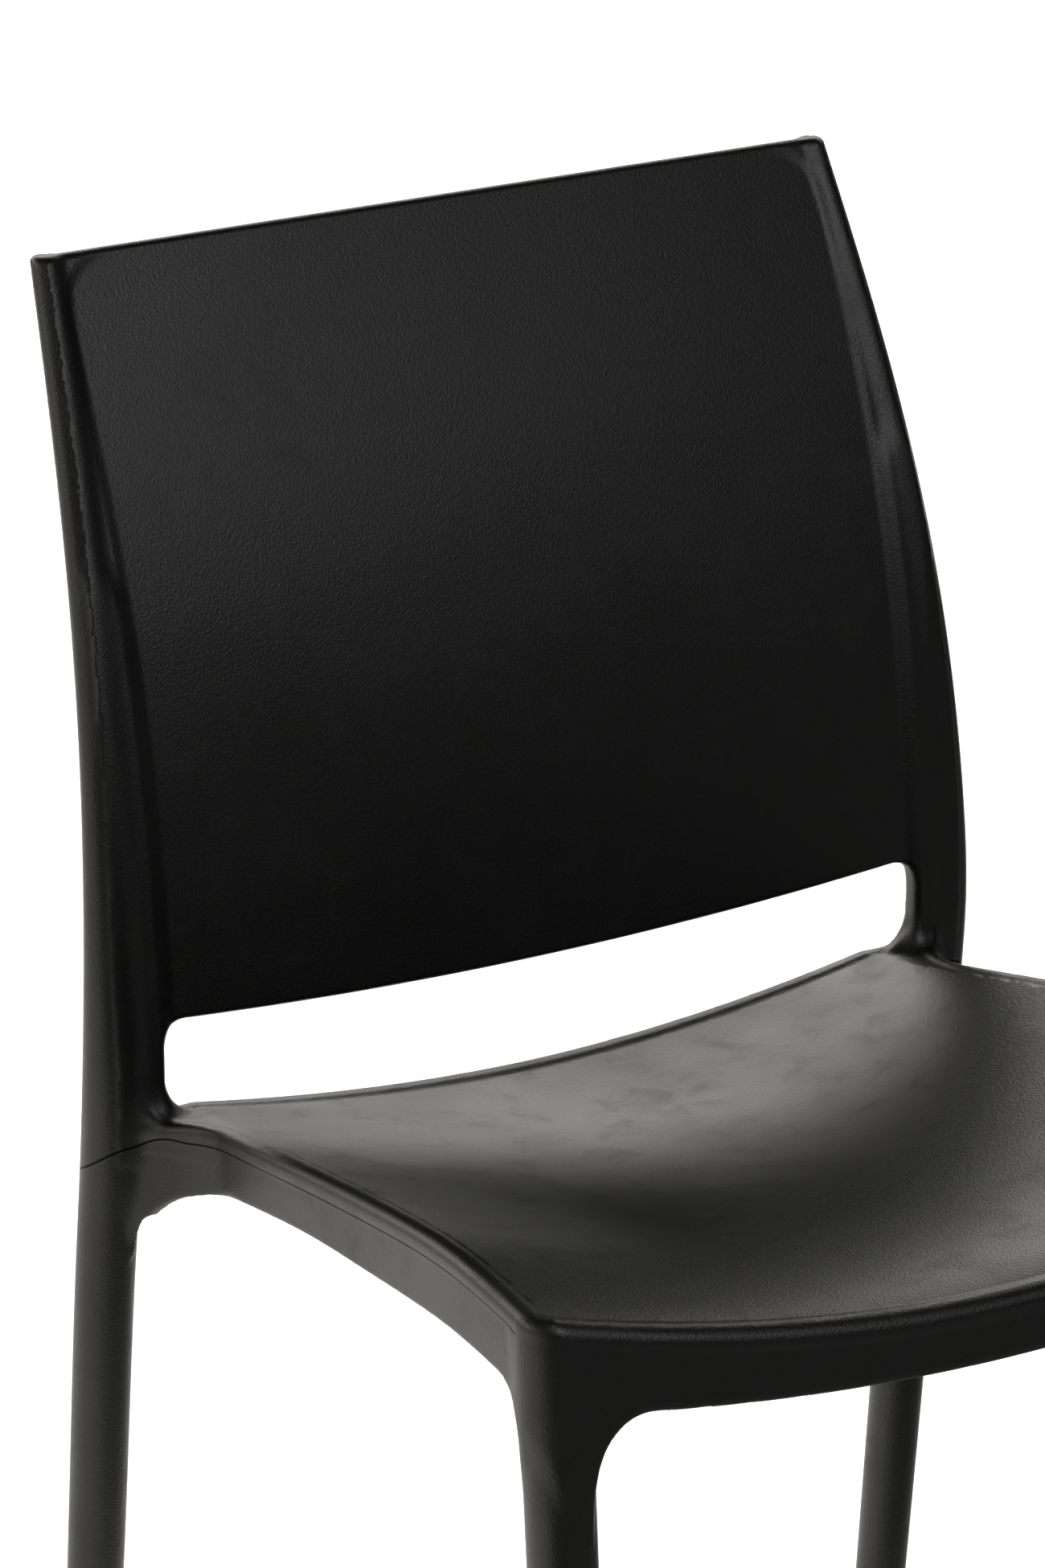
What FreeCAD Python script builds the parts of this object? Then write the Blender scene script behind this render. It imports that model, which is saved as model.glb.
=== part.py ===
"""Stacking chair in moulded plastic: the members of the moulding, each a solid of its own, and four press-in foot glides.

Millimetres, +Z up. The origin is on the floor, under the middle of the chair. The chair faces -Y, and the sitter's
left is +X. One STEP file is written for each member, named after it.
"""
import FreeCAD, Part
import math
import os

Vec = FreeCAD.Vector

# ---- driving dimensions -------------------------------------------------------------------------------------------
HEIGHT = 815.0             # floor to the top edge of the back
SHELL = 5.0                # wall of the seat and back
RAIL_WALL = 6.0            # wall of the aprons under the seat
CORNER_R = 14.0            # plan radius of the seat's front corners
GLIDE_DISC_R = 9.5
GLIDE_DISC_H = 4.0
GLIDE_STEM_R = 5.5
GLIDE_STEM_L = 16.0
STEM_CLEARANCE = 0.05

# Rear leg and upright, one line from the floor to the top: height, half spacing, depth, half width, half depth, radius
REAR_LINE = [
    (GLIDE_DISC_H, 212.2, 232.5, 11.2, 11.2, 10.9),
    (100.0, 211.6, 213.5, 11.7, 11.7, 11.4),
    (280.0, 210.4, 178.9, 12.6, 12.6, 12.2),
    (390.0, 210.0, 157.8, 12.9, 12.9, 12.5),
    (435.0, 209.4, 148.8, 12.9, 12.4, 11.0),
    (475.0, 208.4, 142.2, 12.7, 9.6, 7.0),
    (520.0, 206.3, 139.3, 12.8, 8.2, 5.0),
    (620.0, 200.5, 144.5, 11.9, 7.6, 4.8),
    (720.0, 193.7, 167.2, 10.0, 6.8, 4.4),
    (HEIGHT, 187.2, 201.3, 7.2, 5.4, 3.4),
]
LEG_STATIONS = 6           # stations of the line that belong to the leg; the upright takes the rest and shares one

# Front leg: height, half spacing, depth, half width, half depth, corner radius
FRONT_LINE = [
    (GLIDE_DISC_H, 205.8, -215.0, 11.6, 11.6, 11.3),
    (220.0, 204.7, -215.0, 12.8, 12.8, 12.5),
    (400.0, 203.9, -215.0, 13.9, 13.9, 13.6),
    (490.0, 203.9, -215.0, 13.9, 13.9, 13.6),
]

# Seat top surface across the chair at each depth: depth, height on the centre line, height at the side rim
SEAT_STATIONS = [
    (-260.0, 443.0, 462.0),
    (-235.0, 450.5, 475.0),
    (-205.0, 453.0, 480.0),
    (-150.0, 450.0, 482.5),
    (-85.0, 443.5, 478.5),
    (-10.0, 437.5, 470.5),
    (60.0, 434.5, 462.0),
    (115.0, 434.5, 455.5),
    (175.0, 438.0, 449.5),
]
SEAT_ACROSS = (-1.12, -0.85, -0.55, -0.28, 0.0, 0.28, 0.55, 0.85, 1.12)   # shares of the half width
DISH_POWER = 1.9

SEAT_FRONT_Y = -243.7      # front face on the centre line
SEAT_FRONT_BOW = 16.8      # how far the front corners stand back from it
SEAT_FRONT_HALF = 219.2
SEAT_WAIST_HALF = 184.4    # half width just ahead of the rear legs
SEAT_WAIST_Y = 106.0
SEAT_REAR_Y = 148.0
SEAT_REAR_HALF = 200.0

# Line where the seat's rim meets the side rail: depth, height. The rear end crosses the leg on a slant.
RIM_LINE = [(180.0, 428.0), (151.5, 437.0), (107.5, 447.0), (53.5, 454.0), (0.0, 460.8), (-50.0, 467.0),
            (-102.0, 472.8), (-140.0, 475.0), (-171.5, 475.0), (-204.5, 472.4), (-250.0, 465.0)]
# Lower edge of the side rail between the legs: depth, height
RAIL_LOW = [(124.0, 420.5), (102.5, 427.0), (67.5, 433.2), (-3.5, 442.0), (-59.5, 446.0), (-109.5, 449.0), (-150.5, 450.0),
            (-187.0, 448.2)]
REAR_ARCH = 17.0           # radius where the rail's lower edge turns down into the rear leg
FRONT_ARCH = 20.0
FRONT_RAIL_LOW = 423.6     # lower edge of the front rail on the centre line
FRONT_RAIL_RISE = 18.5     # how much higher that edge is at the legs
FRONT_RAIL_ARCH = 27.0
REAR_RAIL_DROP = 20.0

# Back panel and the slot under it
PANEL_SET_BACK = 1.6       # from the uprights' front face to the panel's
PANEL_BOW = 0.0            # the middle of the panel stands this much behind its edges
PANEL = 6.5                # wall of the panel
SLOT_TOP_MID = 488.7
SLOT_TOP_SIDE = 496.9
SLOT_HALF = 191.0
SLOT_R = 13.0
SLOT_FOOT_R = 16.0         # radius of the gussets between the panel's side webs and the seat
SLOT_FOOT_Z = 451.5        # where those gussets run out on the seat
WEB_END_Z = 440.0


def spline_value(points, at):
    """Height of a smooth curve through (position, value) pairs, read at one position."""
    pts = sorted(points)
    curve = Part.BSplineCurve()
    curve.interpolate([Vec(p, 0, v) for p, v in pts])
    line = Part.LineSegment(Vec(at, 0, -5000), Vec(at, 0, 5000))
    hit = curve.intersectCC(line)
    return hit[0].Z


def rounded_section(z, cx, cy, half_w, half_d, r):
    """Horizontal rounded rectangle as a closed wire of four lines and four arcs."""
    x0, x1, y0, y1 = cx - half_w, cx + half_w, cy - half_d, cy + half_d
    k = r * (1 - math.sqrt(0.5))
    edges = [
        Part.LineSegment(Vec(x0 + r, y0, z), Vec(x1 - r, y0, z)),
        Part.Arc(Vec(x1 - r, y0, z), Vec(x1 - k, y0 + k, z), Vec(x1, y0 + r, z)),
        Part.LineSegment(Vec(x1, y0 + r, z), Vec(x1, y1 - r, z)),
        Part.Arc(Vec(x1, y1 - r, z), Vec(x1 - k, y1 - k, z), Vec(x1 - r, y1, z)),
        Part.LineSegment(Vec(x1 - r, y1, z), Vec(x0 + r, y1, z)),
        Part.Arc(Vec(x0 + r, y1, z), Vec(x0 + k, y1 - k, z), Vec(x0, y1 - r, z)),
        Part.LineSegment(Vec(x0, y1 - r, z), Vec(x0, y0 + r, z)),
        Part.Arc(Vec(x0, y0 + r, z), Vec(x0 + k, y0 + k, z), Vec(x0 + r, y0, z)),
    ]
    return Part.Wire([e.toShape() for e in edges])


def tube(stations):
    """Solid loft through the sections of a leg or upright on the +X side."""
    return Part.makeLoft([rounded_section(*s) for s in stations], True, False)


def mirrored(shape):
    return shape.mirror(Vec(0, 0, 0), Vec(1, 0, 0))


def seat_half_width(y):
    """Half width of the seat's side line at a depth."""
    share = (SEAT_WAIST_Y - y) / (SEAT_WAIST_Y - (SEAT_FRONT_Y + SEAT_FRONT_BOW))
    return SEAT_WAIST_HALF + (SEAT_FRONT_HALF - SEAT_WAIST_HALF) * share


def seat_surface(drop=0.0):
    """Face of the seat's dished top, larger than the seat, lowered by drop."""
    grid = []
    for y, mid, side in SEAT_STATIONS:
        half = seat_half_width(y)
        row = [Vec(s * half, y, mid + (side - mid) * abs(s) ** DISH_POWER - drop) for s in SEAT_ACROSS]
        grid.append(row)
    surface = Part.BSplineSurface()
    surface.interpolate(grid)
    return surface.toShape()


def below(face, depth):
    return face.extrude(Vec(0, 0, -depth))


def plan_wire(inset=0.0):
    """Closed plan outline of the seat at floor level, taken in by inset on the sides and front."""
    w = SEAT_FRONT_HALF - inset
    waist = SEAT_WAIST_HALF - inset
    rear = SEAT_REAR_HALF - inset
    front = SEAT_FRONT_Y + inset
    corner_y = SEAT_FRONT_Y + SEAT_FRONT_BOW + inset
    r = max(CORNER_R - inset, 4.0)
    k = r * (1 - math.sqrt(0.5))
    rear_y = SEAT_REAR_Y
    flare = (SEAT_WAIST_Y + 4.0, rear_y - 14.0)

    def half(sign):
        return [Vec(sign * (w - r), corner_y - 1.2, 0), Vec(sign * (w - k), corner_y - 1.2 + k, 0),
                Vec(sign * w, corner_y - 1.2 + r, 0), Vec(sign * waist, SEAT_WAIST_Y, 0),
                Vec(sign * (waist + 1.5), flare[0] + 14.0, 0), Vec(sign * rear, flare[1], 0),
                Vec(sign * rear, rear_y, 0)]
    right, left = half(-1), half(1)
    edges = [
        Part.Arc(right[0], Vec(0, front, 0), left[0]),
        Part.Arc(left[0], left[1], left[2]),
        Part.LineSegment(left[2], left[3]),
        Part.Arc(left[3], left[4], left[5]),
        Part.LineSegment(left[5], left[6]),
        Part.LineSegment(left[6], right[6]),
        Part.LineSegment(right[6], right[5]),
        Part.Arc(right[5], right[4], right[3]),
        Part.LineSegment(right[3], right[2]),
        Part.Arc(right[2], right[1], right[0]),
    ]
    return Part.Wire([e.toShape() for e in edges])


def plan_prism(inset=0.0):
    face = Part.Face(plan_wire(inset))
    prism = face.extrude(Vec(0, 0, 300.0))
    prism.translate(Vec(0, 0, 300.0))
    return prism


def side_profile():
    """Side rail seen from the side: rim line above, arched lower edge below, as a face in the YZ plane."""
    top = Part.BSplineCurve()
    top.interpolate([Vec(0, y, z) for y, z in RIM_LINE])
    low = Part.BSplineCurve()
    low.interpolate([Vec(0, y, z) for y, z in RAIL_LOW])
    rear_top, front_top = Vec(0, *RIM_LINE[0]), Vec(0, *RIM_LINE[-1])
    (ry, rz), (fy, fz) = RAIL_LOW[0], RAIL_LOW[-1]
    k = 1 - math.sqrt(0.5)
    rear_foot = Vec(0, ry + REAR_ARCH, rz - REAR_ARCH)
    rear_mid = Vec(0, ry + REAR_ARCH * (1 - k), rz - REAR_ARCH * k)
    front_foot = Vec(0, fy - FRONT_ARCH, fz - FRONT_ARCH)
    front_mid = Vec(0, fy - FRONT_ARCH * (1 - k), fz - FRONT_ARCH * k)
    rear_back = Vec(0, RIM_LINE[0][0], rear_foot.z)
    front_out = Vec(0, RIM_LINE[-1][0], front_foot.z)
    edges = [
        top.toShape(),
        Part.LineSegment(front_top, front_out).toShape(),
        Part.LineSegment(front_out, front_foot).toShape(),
        Part.Arc(front_foot, front_mid, Vec(0, fy, fz)).toShape(),
        low.toShape(),
        Part.Arc(Vec(0, ry, rz), rear_mid, rear_foot).toShape(),
        Part.LineSegment(rear_foot, rear_back).toShape(),
        Part.LineSegment(rear_back, rear_top).toShape(),
    ]
    return Part.Face(Part.Wire(Part.__sortEdges__(edges)))


def front_profile():
    """Front rail seen from the front: bowed lower edge with an arch into each leg, as a face in the XZ plane."""
    arch = FRONT_RAIL_ARCH
    half = FRONT_LINE[2][1] - FRONT_LINE[2][3] - arch + 1.0
    z_side = FRONT_RAIL_LOW + FRONT_RAIL_RISE * (half / SEAT_FRONT_HALF) ** 2
    k = 1 - math.sqrt(0.5)

    def arch_edge(sign):
        start = Vec(sign * half, 0, z_side)
        mid = Vec(sign * (half + arch * (1 - k)), 0, z_side - arch * k)
        foot = Vec(sign * (half + arch), 0, z_side - arch)
        return start, mid, foot
    s0, s1, s2 = arch_edge(-1)
    t0, t1, t2 = arch_edge(1)
    top = 520.0
    edges = [
        Part.Arc(s0, Vec(0, 0, FRONT_RAIL_LOW), t0),
        Part.Arc(t0, t1, t2),
        Part.LineSegment(t2, Vec(t2.x, 0, top)),
        Part.LineSegment(Vec(t2.x, 0, top), Vec(s2.x, 0, top)),
        Part.LineSegment(Vec(s2.x, 0, top), s2),
        Part.Arc(s2, s1, s0),
    ]
    return Part.Face(Part.Wire([e.toShape() for e in edges]))


def upright_front(z):
    """Depth of the uprights' front face at a height."""
    faces = [(s[0], s[2] - s[4]) for s in REAR_LINE[LEG_STATIONS - 2:]]
    return spline_value(faces, z)


def panel_slab():
    """Curved slab of the back panel, wider and taller than the panel."""
    grid = []
    for z in (WEB_END_Z, 480.0, 540.0, 610.0, 680.0, 750.0, HEIGHT):
        y = upright_front(z) + PANEL_SET_BACK
        row = [Vec(x, y + PANEL_BOW * (1 - (x / 200.0) ** 2), z) for x in (-220.0, -120.0, -40.0, 40.0, 120.0, 220.0)]
        grid.append(row)
    surface = Part.BSplineSurface()
    surface.interpolate(grid)
    return surface.toShape().extrude(Vec(0, PANEL, 0))


def panel_outline():
    """Front view of the back panel and its two side webs beside the slot, as a tall prism along Y."""
    r, foot = SLOT_R, SLOT_FOOT_R
    k = 1 - math.sqrt(0.5)
    top_z, y = SLOT_TOP_SIDE - 1.0, 100.0
    (foot_x, shoulder_x), top_x = (REAR_LINE[5][1], REAR_LINE[6][1]), REAR_LINE[-1][1]

    def side(sign):
        return [Vec(sign * x, y, z) for x, z in (
            (SLOT_HALF - r, top_z), (SLOT_HALF - r * k, top_z - r * k), (SLOT_HALF, top_z - r),
            (SLOT_HALF, SLOT_FOOT_Z + foot), (SLOT_HALF - foot * k, SLOT_FOOT_Z + foot * k),
            (SLOT_HALF - foot, SLOT_FOOT_Z), (SLOT_HALF - foot, WEB_END_Z), (foot_x, WEB_END_Z),
            (shoulder_x, REAR_LINE[6][0]), (top_x, HEIGHT))]
    left, right = side(1), side(-1)
    edges = [Part.Arc(right[0], Vec(0, y, SLOT_TOP_MID), left[0]), Part.LineSegment(left[9], right[9])]
    for p in (left, right):
        edges += [Part.Arc(p[0], p[1], p[2]), Part.LineSegment(p[2], p[3]), Part.Arc(p[3], p[4], p[5])]
        edges += [Part.LineSegment(p[i], p[i + 1]) for i in (5, 6, 7, 8)]
    face = Part.Face(Part.Wire(Part.__sortEdges__([e.toShape() for e in edges])))
    return face.extrude(Vec(0, 160, 0))


def rim_cutter(above):
    """Everything above, or below, the line where the rim meets the side rail."""
    line = Part.BSplineCurve()
    line.interpolate([Vec(-300, y, z) for y, z in [(260.0, 409.0)] + RIM_LINE + [(-300.0, 466.0)]])
    sheet = line.toShape().extrude(Vec(600, 0, 0))
    return sheet.extrude(Vec(0, 0, 420.0 if above else -460.0))


def glide(foot, lean):
    """Foot glide: a disc on the floor with a plug stem that leans with its leg."""
    x, y = foot
    disc = Part.makeCylinder(GLIDE_DISC_R, GLIDE_DISC_H, Vec(x, y, 0))
    rim = [e for e in disc.Edges if abs(e.BoundBox.ZMin) < 1e-6 and abs(e.BoundBox.ZMax) < 1e-6 and len(e.Vertexes) == 1]
    disc = disc.makeFillet(1.0, rim)
    return disc.fuse(stem(foot, lean, GLIDE_STEM_R, GLIDE_STEM_L)).removeSplitter()


def stem(foot, lean, radius, length):
    """Plug of a glide, or the socket for it, standing on the disc's top face and leaning with the leg."""
    x, y = foot
    start = Vec(x, y, GLIDE_DISC_H) - lean * 3.0
    body = Part.makeCylinder(radius, length + 3.0, start, lean)
    keep = Part.makeBox(80, 80, 80, Vec(x - 40, y - 40, GLIDE_DISC_H))
    return body.common(keep)


def one_solid(shape, name):
    """The largest solid of a result, with a check that nothing else of any size was left."""
    solids = sorted(shape.Solids, key=lambda s: -s.Volume)
    rest = sum(s.Volume for s in solids[1:])
    if rest > 20.0:
        print(f"note: {name} leaves {rest:.0f} mm3 in {len(solids) - 1} scraps")
    return solids[0]


def build():
    top = seat_surface()
    slab = below(top, SHELL)
    under = below(top, 600.0)
    lower_half = rim_cutter(False)
    upper_half = rim_cutter(True)

    rear_all = tube(REAR_LINE[:LEG_STATIONS])
    upright_all = tube(REAR_LINE[LEG_STATIONS - 3:])
    rear_leg = rear_all.common(lower_half)
    upright = upright_all.common(upper_half)

    outline = plan_prism()
    inner = plan_prism(RAIL_WALL)
    seat_full = outline.common(slab)
    rim = outline.cut(inner).common(under).common(upper_half)
    seat = seat_full.fuse(rim).removeSplitter()
    seat = seat.cut(upright).cut(mirrored(upright)).cut(rear_all).cut(mirrored(rear_all))
    seat = one_solid(seat, "seat_shell")

    front_leg = tube(FRONT_LINE).common(outline.fuse(Part.makeBox(500, 500, 440, Vec(-250, -300, 0)))).common(under)
    front_leg = front_leg.cut(seat)
    front_leg = one_solid(front_leg, "front_leg")

    wall = outline.cut(inner).common(under).cut(seat)
    side_block = side_profile().extrude(Vec(260, 0, 0)).cut(Part.makeBox(170, 600, 600, Vec(0, -300, 0)))
    side_rail = wall.common(side_block).cut(front_leg).cut(rear_all).cut(seat)
    side_rail = one_solid(side_rail, "side_rail")

    front_block = front_profile().extrude(Vec(0, 80, 0))
    front_block.translate(Vec(0, -260, 0))
    front_rail = wall.common(front_block).cut(seat)
    for s in (front_leg, mirrored(front_leg), side_rail, mirrored(side_rail)):
        front_rail = front_rail.cut(s)
    front_rail = one_solid(front_rail, "front_rail")

    rear_box = Part.makeBox(2 * SEAT_REAR_HALF + 20, RAIL_WALL, 120, Vec(-SEAT_REAR_HALF - 10, SEAT_REAR_Y - RAIL_WALL, 380))
    rear_rail = rear_box.common(below(seat_surface(SHELL), REAR_RAIL_DROP))
    for s in (rear_all, mirrored(rear_all), upright, mirrored(upright), seat, side_rail, mirrored(side_rail)):
        rear_rail = rear_rail.cut(s)
    rear_rail = one_solid(rear_rail, "rear_rail")

    panel = panel_slab().common(panel_outline())
    for s in (upright, mirrored(upright), rear_all, mirrored(rear_all), seat, rear_rail):
        panel = panel.cut(s)
    panel = one_solid(panel, "back_panel")

    parts = {"seat_shell": seat, "front_rail": front_rail, "rear_rail": rear_rail, "back_panel": panel}
    legs = {}
    for name, leg, line in (("front", front_leg, FRONT_LINE), ("rear", rear_leg, REAR_LINE)):
        z0, x0, y0 = line[0][:3]
        z1, x1, y1 = line[1][:3]
        lean = Vec(x1 - x0, y1 - y0, z1 - z0)
        lean.normalize()
        plug = glide((x0, y0), lean)
        socket = stem((x0, y0), lean, GLIDE_STEM_R + STEM_CLEARANCE, GLIDE_STEM_L + 1.0)
        legs[name] = one_solid(leg.cut(socket), name + "_leg")
        parts[f"foot_glide_{name}_left"] = plug
        parts[f"foot_glide_{name}_right"] = mirrored(plug)
    for side, turn in (("left", lambda s: s), ("right", mirrored)):
        parts[f"front_leg_{side}"] = turn(legs["front"])
        parts[f"rear_leg_{side}"] = turn(legs["rear"])
        parts[f"back_upright_{side}"] = turn(one_solid(upright, "upright"))
        parts[f"side_rail_{side}"] = turn(side_rail)
    return parts


os.makedirs("parts", exist_ok=True)
for node, shape in build().items():
    if not shape.isValid():
        print("invalid:", node)
    shape.exportStep(f"parts/{node}.step")
    box = shape.BoundBox
    print(f"{node:26s} {shape.Volume / 1000:8.1f} cm3  x {box.XMin:7.1f} {box.XMax:7.1f}  y {box.YMin:7.1f} {box.YMax:7.1f}"
          f"  z {box.ZMin:7.1f} {box.ZMax:7.1f}")
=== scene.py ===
"""Looks of the stacking chair: a one-piece black plastic moulding, cut into its members, on four glides.

Every member is cut from one field, the distance to the whole moulding in millimetres, so the blends run on
from member to member. A surface net walks that field in small blocks, near the surface only.
"""
import math

import bmesh
import bpy
import numpy as np
from mathutils import Matrix, Vector
from mathutils.geometry import delaunay_2d_cdt


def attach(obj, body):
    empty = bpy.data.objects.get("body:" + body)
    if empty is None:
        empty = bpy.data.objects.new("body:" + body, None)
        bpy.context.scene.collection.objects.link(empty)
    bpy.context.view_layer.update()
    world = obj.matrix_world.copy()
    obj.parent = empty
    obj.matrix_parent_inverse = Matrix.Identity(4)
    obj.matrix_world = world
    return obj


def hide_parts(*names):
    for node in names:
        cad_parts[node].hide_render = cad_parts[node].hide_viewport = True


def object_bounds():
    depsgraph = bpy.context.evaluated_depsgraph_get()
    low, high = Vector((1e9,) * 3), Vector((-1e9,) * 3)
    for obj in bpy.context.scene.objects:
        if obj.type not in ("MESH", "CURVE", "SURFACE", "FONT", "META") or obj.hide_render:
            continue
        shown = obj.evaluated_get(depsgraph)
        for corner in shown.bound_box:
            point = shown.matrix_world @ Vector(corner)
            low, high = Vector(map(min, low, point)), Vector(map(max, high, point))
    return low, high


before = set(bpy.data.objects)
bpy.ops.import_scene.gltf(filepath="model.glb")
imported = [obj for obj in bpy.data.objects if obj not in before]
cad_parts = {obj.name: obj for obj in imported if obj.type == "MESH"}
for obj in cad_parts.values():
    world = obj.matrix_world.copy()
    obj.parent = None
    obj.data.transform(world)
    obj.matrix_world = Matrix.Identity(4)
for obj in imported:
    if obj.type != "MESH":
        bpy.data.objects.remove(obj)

bl_info = {
    "name": "Moulded stacking chair",
    "version": (1, 0, 0),
    "blender": (4, 5, 0),
    "location": "View3D > Sidebar > Chair",
    "description": "Builds the visible members, finishes and studio of a one-piece moulded stacking chair",
    "category": "Add Mesh",
}

CAD_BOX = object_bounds()
MM = 0.001
ROOT = "root"


# ---- smooth curves and rounded joins ------------------------------------------------------------
class Curve:
    """Natural cubic spline through stations, carried on in a straight line past both ends."""
    SAMPLES = 2001
    REACH = 300.0

    def __init__(self, x, y):
        x, y = np.asarray(x, float), np.asarray(y, float)
        n, h = len(x), np.diff(x)
        a, rhs = np.eye(n), np.zeros(n)
        for i in range(1, n - 1):
            a[i, i - 1:i + 2] = h[i - 1], 2 * (h[i - 1] + h[i]), h[i]
            rhs[i] = 6 * ((y[i + 1] - y[i]) / h[i] - (y[i] - y[i - 1]) / h[i - 1])
        m = np.linalg.solve(a, rhs)
        fine = np.linspace(x[0], x[-1], self.SAMPLES)
        i = np.clip(np.searchsorted(x, fine) - 1, 0, n - 2)
        t0, t1 = x[i + 1] - fine, fine - x[i]
        value = (m[i] * t0 ** 3 + m[i + 1] * t1 ** 3) / (6 * h[i])
        value += (y[i] / h[i] - m[i] * h[i] / 6) * t0 + (y[i + 1] / h[i] - m[i + 1] * h[i] / 6) * t1
        step = fine[1] - fine[0]
        low = value[0] - (value[1] - value[0]) / step * self.REACH
        high = value[-1] + (value[-1] - value[-2]) / step * self.REACH
        self.x = np.concatenate([[fine[0] - self.REACH], fine, [fine[-1] + self.REACH]])
        self.y = np.concatenate([[low], value, [high]])
        self.slope_y = np.gradient(self.y, self.x)

    def __call__(self, at):
        return np.interp(at, self.x, self.y)

    def slope(self, at):
        return np.interp(at, self.x, self.slope_y)


def smooth(t):
    t = np.clip(t, 0, 1)
    return t * t * (3 - 2 * t)


def soft_min(a, b, k):
    """Union of two distances with a blend about k wide."""
    h = np.clip(k - np.abs(a - b), 0, None) / k
    return np.minimum(a, b) - h * h * k * 0.25


def round_max(a, b, r):
    """Intersection of two distances with its outer edge rounded to radius r."""
    return np.minimum(np.maximum(a, b) + r, 0) + np.hypot(np.maximum(a + r, 0), np.maximum(b + r, 0)) - r


def round_min(a, b, r):
    """Union of two distances with its inner corner filled to radius r."""
    return -round_max(-a, -b, r)


# ---- the moulding, in millimetres ---------------------------------------------------------------
FLOOR_GAP = 4.0            # the glides' discs lift the legs this far
TOP = 815.0
WALL, SHELL, PANEL = 6.0, 5.0, 6.5
BORDER, RECESS = 0.9, 0.9  # the border lies behind the bead, and the panel behind the border
DISH_POWER = 1.9

# Rear leg and the bead of the upright, one round line: height, half spacing, depth, radius
REAR = np.array([
    (4, 212.2, 232.5, 11.2), (100, 211.6, 213.5, 11.7), (280, 210.4, 178.9, 12.6), (390, 210.0, 157.8, 12.9),
    (435, 209.7, 148.8, 12.8), (475, 210.6, 142.2, 11.6), (520, 210.6, 139.3, 9.7), (620, 205.5, 144.5, 8.0),
    (720, 197.8, 167.2, 6.9), (815, 189.6, 201.3, 5.5)])
FRONT = np.array([
    (4, 205.8, -215.0, 11.6), (220, 204.7, -215.0, 12.8), (400, 203.9, -215.0, 13.9),
    (490, 203.9, -215.0, 13.9)])
REAR_X, REAR_Y, REAR_R = (Curve(REAR[:, 0], REAR[:, i]) for i in (1, 2, 3))
FRONT_X, FRONT_Y, FRONT_R = (Curve(FRONT[:, 0], FRONT[:, i]) for i in (1, 2, 3))
BEAD_FACE = Curve(REAR[4:, 0], REAR[4:, 2] - REAR[4:, 3])

# Seat: depth, height on the centre line, height at the rim
SEAT = np.array([
    (-260, 443.0, 462.0), (-235, 450.5, 475.0), (-205, 453.0, 480.0), (-150, 450.0, 482.5),
    (-85, 443.5, 478.5), (-10, 437.5, 470.5), (60, 434.5, 462.0), (115, 434.5, 455.5), (175, 438.0, 449.5)])
SEAT_MID, SEAT_SIDE = Curve(SEAT[:, 0], SEAT[:, 1]), Curve(SEAT[:, 0], SEAT[:, 2])
SEAT_FRONT, SEAT_BOW, SEAT_HALF, SEAT_BACK = -243.7, 16.8, 219.2, 148.0
CORNER_R, CREASE_R, BACK_R = 13.9, 12.0, 3.0    # the outline's front corners, its neck and its rear edge
NECK_Y, NECK_HALF = 106.0, 184.4                # the sides taper to here
FLARE_HALF, FLARE_SLOPE = 184.6, 0.65           # behind the neck the outline runs out to the uprights
SIDE_COS, FLARE_COS, TOP_COS, CUT_COS = 0.995, 0.84, 0.985, 0.97   # turn slanted gaps into distances
RIM_BAND, RIM_DROP = 10.0, 0.5                  # the flatter band round the dish
RIM_DEPTH = 7.0                                 # the seat's edge strip, above the apron
EDGE_R, SHARPER, TOP_R = 3.6, 2.0, 2.6          # the seat's edge, what its rear edge has less, the back's top

# The aprons' low edges, along the sides and across the front, and how far they arch into the legs
RAIL_LOW = Curve(
    [-187.0, -150.5, -109.5, -59.5, -3.5, 67.5, 102.5, 124.0],
    [448.2, 450, 449, 446, 442, 433.2, 427, 420.5])
LEG_SEAM = Curve([112, 120, 130, 138, 151, 165], [451, 449, 446, 440, 433, 428])
FRONT_LOW, FRONT_RISE, REAR_DEPTH = 423.6, 18.5, 24.0
ARCH_COS, SIDE_ARCH_R, FRONT_ARCH_R = 0.68, 21.0, 26.0
SIDE_SHARE, FRONT_SHARE = 0.35, 0.55            # of the front leg's radius that the two arches start from
ARCH_END = 384.0
SINK, SINK_FROM, SINK_OVER = 1.6, 412.0, 26.0   # the wall's end sinks into the leg

# The hand slot, the webs beside it and the recess in the panel's face
SLOT_TOP, SLOT_RISE, SLOT_HALF, SLOT_R = 488.7, 8.2, 191.0, 13.0
FOOT_R, FOOT_LIFT, FOOT_SINK = 18.0, 30.0, 2.0
FOOT_LOW, FOOT_FRONT, FOOT_INNER = 442.0, 108.0, 168.0
PANEL_LOW, PANEL_R, WEB_R = 436.0, 2.4, 2.0
RECESS_HALF, RECESS_TOP, RECESS_R, RECESS_EASE = 186.2, TOP - 1.5, 24.0, 6.0


def bar(ax, y, z, line_x, line_y, radius):
    """Distance to a round bar that follows a line up the chair."""
    qx = (ax - line_x(z)) / np.sqrt(1 + line_x.slope(z) ** 2)
    qy = (y - line_y(z)) / np.sqrt(1 + line_y.slope(z) ** 2)
    return np.hypot(qx, qy) - radius(z)


def seat_side(y):
    """Half width of the seat at a depth."""
    return NECK_HALF + (SEAT_HALF - NECK_HALF) * (NECK_Y - y) / (NECK_Y - SEAT_FRONT - SEAT_BOW)


def seat_top(ax, y):
    """Height of the seat's top surface: a dish inside a narrow flatter band."""
    band = seat_side(y) - RIM_BAND
    mid, side = SEAT_MID(y), SEAT_SIDE(y)
    return mid + (side - RIM_DROP - mid) * np.clip(ax / band, 0, 1) ** DISH_POWER


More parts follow.
